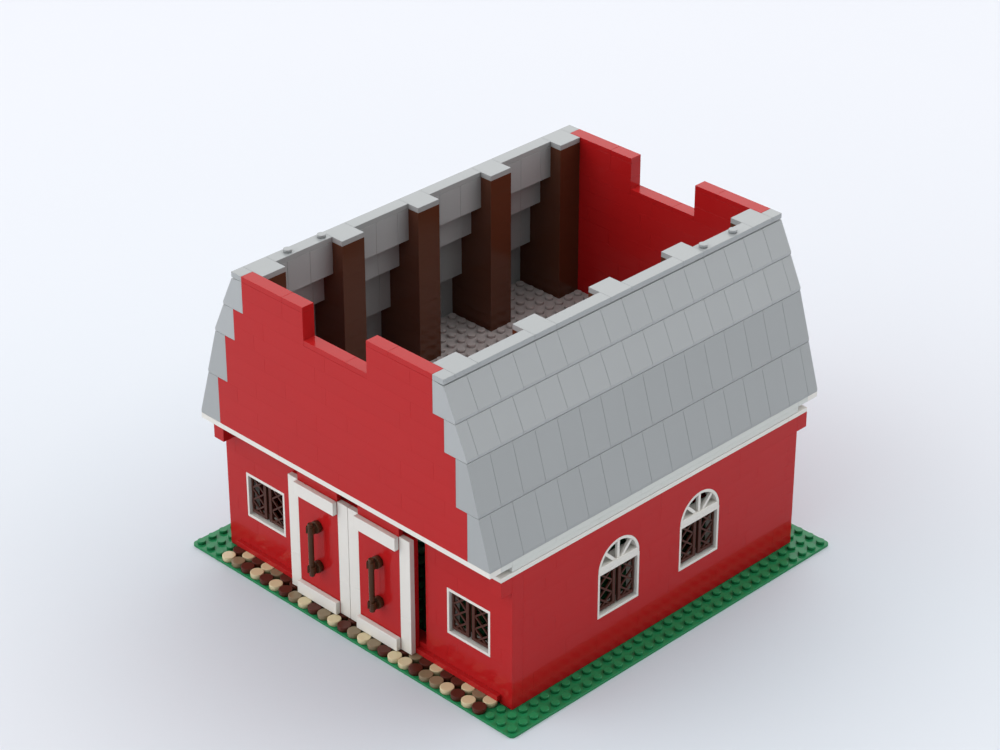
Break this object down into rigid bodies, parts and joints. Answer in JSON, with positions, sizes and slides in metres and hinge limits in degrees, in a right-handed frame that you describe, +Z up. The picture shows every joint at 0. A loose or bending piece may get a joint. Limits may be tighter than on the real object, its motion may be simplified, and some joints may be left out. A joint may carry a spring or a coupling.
{
  "type": "toy barn",
  "caption": "Open-topped toy barn of interlocking plastic bricks, with two sliding front doors, latticed casement windows and a loft floor, on a studded base.",
  "frame": {"origin": "centre of the underside of the square baseplate", "axes": "+X to the right along the front wall, +Y from the front wall to the back wall, +Z up; the doors face -Y"},
  "size_m": [0.256, 0.256, 0.1954],
  "materials": {
    "red_brick": "glossy moulded ABS",
    "white_trim": "glossy moulded ABS",
    "grey_roof": "glossy moulded ABS",
    "green_base": "glossy moulded plastic sheet",
    "dark_brown_post": "glossy moulded ABS",
    "dark_brown_handle": "glossy moulded ABS",
    "red_brown_tile": "glossy moulded ABS",
    "tan_tile": "glossy moulded ABS",
    "dark_tan_tile": "glossy moulded ABS",
    "grey_brown_floor": "glossy moulded ABS"
  },
  "bodies": {
    "house": {"back_gable": "red_brick", "back_wall": "red_brick", "baseplate": "green_base", "baseplate_studs": "green_base", "corbels": "red_brick", "door_guide": "red_brick", "door_track": "red_brick", "eave_plates": "white_trim", "front_gable": "red_brick", "front_wall": "red_brick", "front_window_frames": "white_trim", "gable_tiles": "red_brick", "left_posts": "dark_brown_post", "left_slope_1": "grey_roof", "left_slope_2": "grey_roof", "left_slope_3": "grey_roof", "left_slope_4": "grey_roof", "left_wall": "red_brick", "locating_studs": "grey_roof", "loft_floor": "grey_brown_floor", "loft_studs": "grey_brown_floor", "path_brown": "red_brown_tile", "path_dark_tan": "dark_tan_tile", "path_tan": "tan_tile", "right_posts": "dark_brown_post", "right_slope_1": "grey_roof", "right_slope_2": "grey_roof", "right_slope_3": "grey_roof", "right_slope_4": "grey_roof", "right_wall": "red_brick", "roof_caps": "grey_roof", "side_bands": "white_trim", "side_fan_lights": "white_trim", "side_window_frames": "white_trim", "tie_plates": "grey_roof", "top_beams": "red_brick"},
    "left_door": {"left_door_backing": "red_brick", "left_door_boards": "white_trim", "left_door_handle": "dark_brown_handle", "left_door_panel": "red_brick", "left_door_rails": "white_trim"},
    "right_door": {"right_door_backing": "red_brick", "right_door_boards": "white_trim", "right_door_handle": "dark_brown_handle", "right_door_panel": "red_brick", "right_door_rails": "white_trim"},
    "front_left_leaf_a_pane": {"front_left_leaf_a": "red_brown_tile"},
    "front_left_leaf_b_pane": {"front_left_leaf_b": "red_brown_tile"},
    "front_right_leaf_a_pane": {"front_right_leaf_a": "red_brown_tile"},
    "front_right_leaf_b_pane": {"front_right_leaf_b": "red_brown_tile"},
    "left_front_leaf_a_pane": {"left_front_leaf_a": "red_brown_tile"},
    "left_front_leaf_b_pane": {"left_front_leaf_b": "red_brown_tile"},
    "left_rear_leaf_a_pane": {"left_rear_leaf_a": "red_brown_tile"},
    "left_rear_leaf_b_pane": {"left_rear_leaf_b": "red_brown_tile"},
    "right_front_leaf_a_pane": {"right_front_leaf_a": "red_brown_tile"},
    "right_front_leaf_b_pane": {"right_front_leaf_b": "red_brown_tile"},
    "right_rear_leaf_a_pane": {"right_rear_leaf_a": "red_brown_tile"},
    "right_rear_leaf_b_pane": {"right_rear_leaf_b": "red_brown_tile"}
  },
  "joints": [
    {"name": "left_door_slide", "type": "slide", "parent": "house", "child": "left_door", "axis": [1, 0, 0], "range_m": [-0.05, 0]},
    {"name": "right_door_slide", "type": "slide", "parent": "house", "child": "right_door", "axis": [1, 0, 0], "range_m": [0, 0.06]},
    {"name": "front_left_leaf_a_hinge", "type": "hinge", "parent": "house", "child": "front_left_leaf_a_pane", "pos_m": [-0.0932, -0.1098, 0.04217], "axis": [0, 0, 1], "range_deg": [0, 90]},
    {"name": "front_left_leaf_b_hinge", "type": "hinge", "parent": "house", "child": "front_left_leaf_b_pane", "pos_m": [-0.0668, -0.1098, 0.04217], "axis": [0, 0, -1], "range_deg": [0, 90]},
    {"name": "front_right_leaf_a_hinge", "type": "hinge", "parent": "house", "child": "front_right_leaf_a_pane", "pos_m": [0.0668, -0.1098, 0.04217], "axis": [0, 0, 1], "range_deg": [0, 90]},
    {"name": "front_right_leaf_b_hinge", "type": "hinge", "parent": "house", "child": "front_right_leaf_b_pane", "pos_m": [0.0932, -0.1098, 0.04217], "axis": [0, 0, -1], "range_deg": [0, 90]},
    {"name": "left_front_leaf_a_hinge", "type": "hinge", "parent": "house", "child": "left_front_leaf_a_pane", "pos_m": [-0.1098, -0.0452, 0.04217], "axis": [0, 0, -1], "range_deg": [0, 90]},
    {"name": "left_front_leaf_b_hinge", "type": "hinge", "parent": "house", "child": "left_front_leaf_b_pane", "pos_m": [-0.1098, -0.0188, 0.04217], "axis": [0, 0, 1], "range_deg": [0, 90]},
    {"name": "left_rear_leaf_a_hinge", "type": "hinge", "parent": "house", "child": "left_rear_leaf_a_pane", "pos_m": [-0.1098, 0.0188, 0.04217], "axis": [0, 0, -1], "range_deg": [0, 90]},
    {"name": "left_rear_leaf_b_hinge", "type": "hinge", "parent": "house", "child": "left_rear_leaf_b_pane", "pos_m": [-0.1098, 0.0452, 0.04217], "axis": [0, 0, 1], "range_deg": [0, 90]},
    {"name": "right_front_leaf_a_hinge", "type": "hinge", "parent": "house", "child": "right_front_leaf_a_pane", "pos_m": [0.1098, -0.0452, 0.04217], "axis": [0, 0, 1], "range_deg": [0, 90]},
    {"name": "right_front_leaf_b_hinge", "type": "hinge", "parent": "house", "child": "right_front_leaf_b_pane", "pos_m": [0.1098, -0.0188, 0.04217], "axis": [0, 0, -1], "range_deg": [0, 90]},
    {"name": "right_rear_leaf_a_hinge", "type": "hinge", "parent": "house", "child": "right_rear_leaf_a_pane", "pos_m": [0.1098, 0.0188, 0.04217], "axis": [0, 0, 1], "range_deg": [0, 90]},
    {"name": "right_rear_leaf_b_hinge", "type": "hinge", "parent": "house", "child": "right_rear_leaf_b_pane", "pos_m": [0.1098, 0.0452, 0.04217], "axis": [0, 0, -1], "range_deg": [0, 90]}
  ]
}
